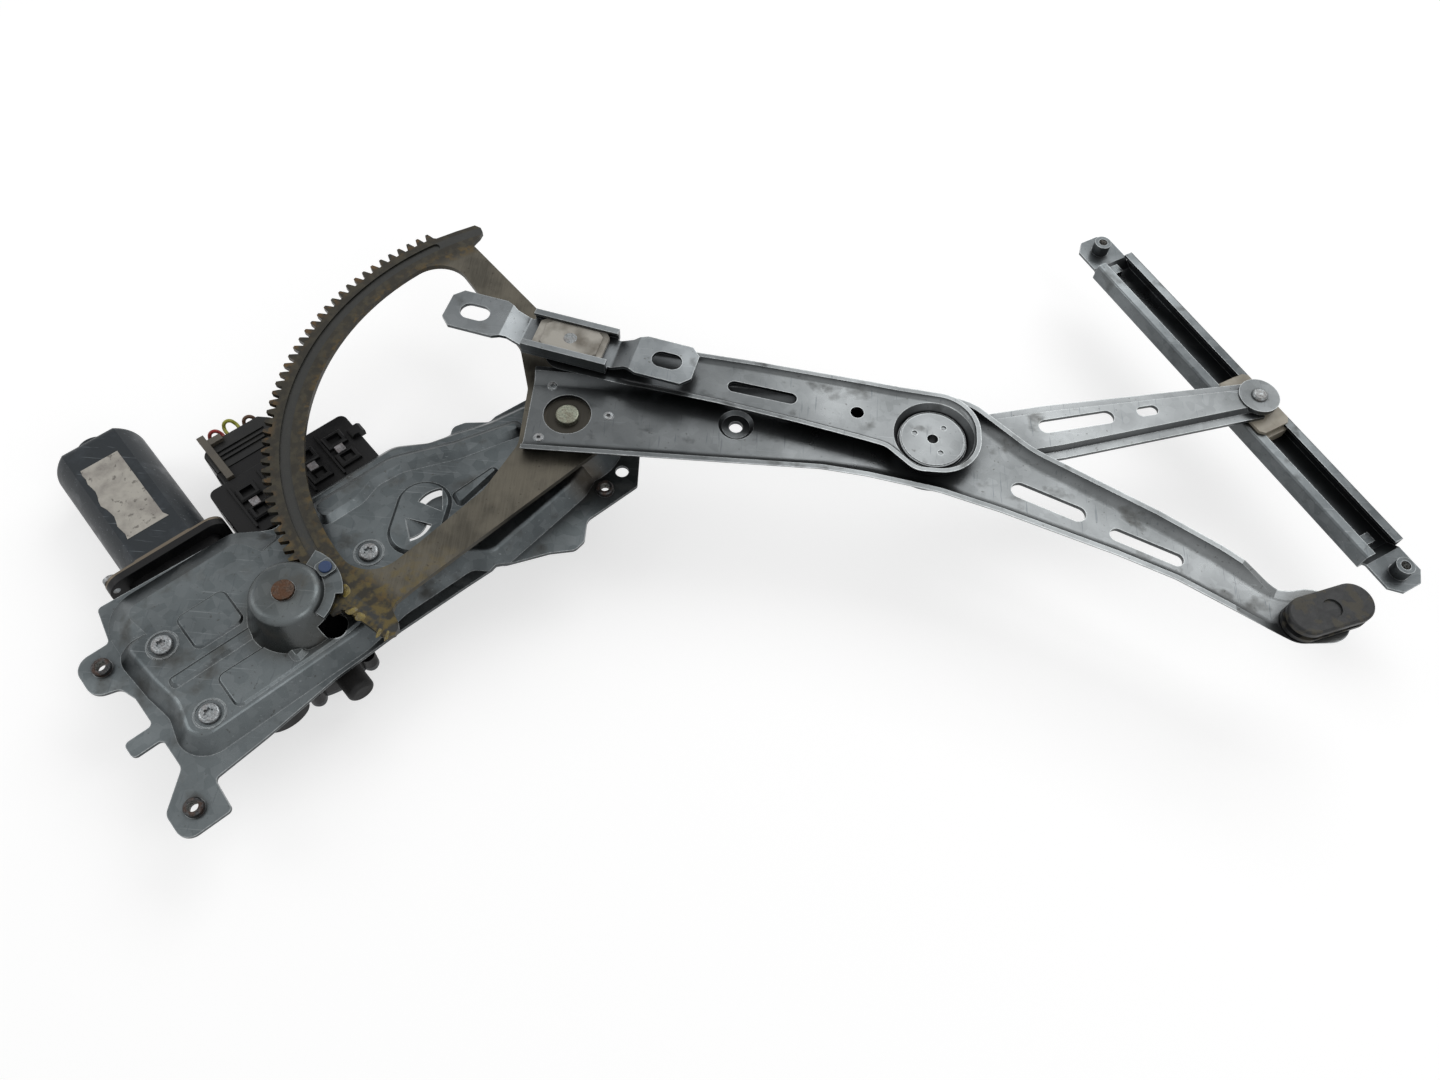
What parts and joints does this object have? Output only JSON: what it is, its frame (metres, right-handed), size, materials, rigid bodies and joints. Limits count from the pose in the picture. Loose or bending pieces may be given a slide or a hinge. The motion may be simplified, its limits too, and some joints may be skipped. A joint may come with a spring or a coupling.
{
  "type": "window regulator",
  "caption": "Cross-arm power window regulator: pressed base plate with geared motor, toothed sector with lift arm, crossing arm, guide rail, slotted bracket and plastic sliders.",
  "frame": {"origin": "centre of the upper tab's threaded nut at the underside of the tab, where it seats on the door panel", "axes": "+X along the assembly's longest extent, from the base plate towards the guide rail; +Z off the door panel towards the glass, through the sheet of the sector"},
  "size_m": [0.7281, 0.4122, 0.0795],
  "materials": {
    "zinc_plate": "galvanised pressed sheet, blue-grey, satin",
    "sector_steel": "stamped sheet steel, greased at the teeth",
    "fastener_steel": "zinc plated fasteners and hub",
    "pin_steel": "turned steel, lightly rusted",
    "housing_plastic": "black glass-filled plastic",
    "plug_plastic": "black unfilled plastic",
    "cover_steel": "dark coated steel lid",
    "motor_can": "dark blue-grey coated deep-drawn steel",
    "cap_rubber": "black moulded rubber",
    "slider_plastic": "dirty off-white acetal",
    "shoe_plastic": "dark grey moulded plastic with grease",
    "wheel_plastic": "natural acetal",
    "ferrite": "pressed ferrite magnet",
    "bearing_bronze": "sintered bronze",
    "copper": "enamelled copper",
    "carbon": "carbon brush",
    "core_steel": "stacked electrical sheet",
    "board": "green fibreglass board with parts",
    "lead_black": "black insulation",
    "lead_red": "red insulation",
    "lead_green": "yellow-green insulation",
    "lead_brown": "brown insulation"
  },
  "bodies": {
    "base": {"base_plate": "zinc_plate", "tab_nuts": "fastener_steel", "pivot_stud": "pin_steel", "pivot_washer": "fastener_steel", "guide_button": "fastener_steel", "motor_screws": "fastener_steel", "gear_housing": "housing_plastic", "gear_cover": "cover_steel", "cover_screws": "fastener_steel", "breather_cap": "cap_rubber", "motor_can": "motor_can", "can_screws": "fastener_steel", "can_bushing": "bearing_bronze", "magnets": "ferrite", "brush_card": "housing_plastic", "brushes": "carbon", "electronics_housing": "housing_plastic", "electronics_cover": "housing_plastic", "circuit_board": "board", "connector_plug": "plug_plastic", "plug_latch": "plug_plastic", "lead_black": "lead_black", "lead_red": "lead_red", "lead_green": "lead_green", "lead_brown": "lead_brown"},
    "output": {"pinion": "pin_steel", "worm_wheel": "wheel_plastic", "drive_damper": "cap_rubber"},
    "armature": {"armature_shaft": "pin_steel", "armature_core": "core_steel", "armature_winding": "copper", "commutator": "copper", "sensor_magnet": "ferrite"},
    "sector_arm": {"sector_gear": "sector_steel", "lift_arm": "zinc_plate", "arm_rivets": "fastener_steel", "shoe_pin": "pin_steel"},
    "glass_shoe": {"shoe": "shoe_plastic"},
    "cross_arm": {"cross_arm_left": "zinc_plate", "cross_arm_right": "zinc_plate", "centre_hub": "fastener_steel", "bracket_pin": "pin_steel", "rail_pin": "pin_steel"},
    "pin_slider": {"bracket_slider": "slider_plastic"},
    "bracket": {"slotted_bracket": "zinc_plate"},
    "door_slider": {"rail_slider": "slider_plastic"},
    "rail": {"guide_rail": "zinc_plate"}
  },
  "joints": [
    {"name": "swing", "type": "hinge", "parent": "base", "child": "sector_arm", "pos_m": [0.2054, 0.15417, 0.024], "axis": [0, 0, 1], "range_deg": [-2, 88]},
    {"name": "pinion_spin", "type": "hinge", "parent": "base", "child": "output", "pos_m": [0.08744, 0.03455, 0.024], "axis": [0, 0, 1], "range_deg": [-1261, 33.5]},
    {"name": "armature_spin", "type": "hinge", "parent": "base", "child": "armature", "pos_m": [0.06511, 0.01191, -0.014], "axis": [-0.712, 0.7022, 0], "range_deg": [-75365, 1717.7]},
    {"name": "cross_turn", "type": "hinge", "parent": "sector_arm", "child": "cross_arm", "pos_m": [0.3994, 0.15467, 0.024], "axis": [0, 0, 1], "range_deg": [-25, 45]},
    {"name": "shoe_turn", "type": "hinge", "parent": "sector_arm", "child": "glass_shoe", "pos_m": [0.5909, 0.06907, 0.024], "axis": [0, 0, 1], "range_deg": [-60, 60]},
    {"name": "pin_slider_turn", "type": "hinge", "parent": "cross_arm", "child": "pin_slider", "pos_m": [0.2028, 0.19277, 0.042], "axis": [0, 0, 1], "range_deg": [-30, 60]},
    {"name": "bracket_slide", "type": "slide", "parent": "pin_slider", "child": "bracket", "axis": [0.9785, -0.2062, 0], "range_m": [-0.004, 0.004]},
    {"name": "door_slider_turn", "type": "hinge", "parent": "cross_arm", "child": "door_slider", "pos_m": [0.585, 0.20797, 0.014], "axis": [0, 0, 1], "range_deg": [-40, 50]},
    {"name": "rail_slide", "type": "slide", "parent": "door_slider", "child": "rail", "axis": [0.5358, -0.8443, 0], "range_m": [-0.069, 0.095]}
  ],
  "couplings": [
    {"joint": "pinion_spin", "follows": "swing", "ratio": -14.273},
    {"joint": "armature_spin", "follows": "swing", "ratio": -856.36}
  ]
}
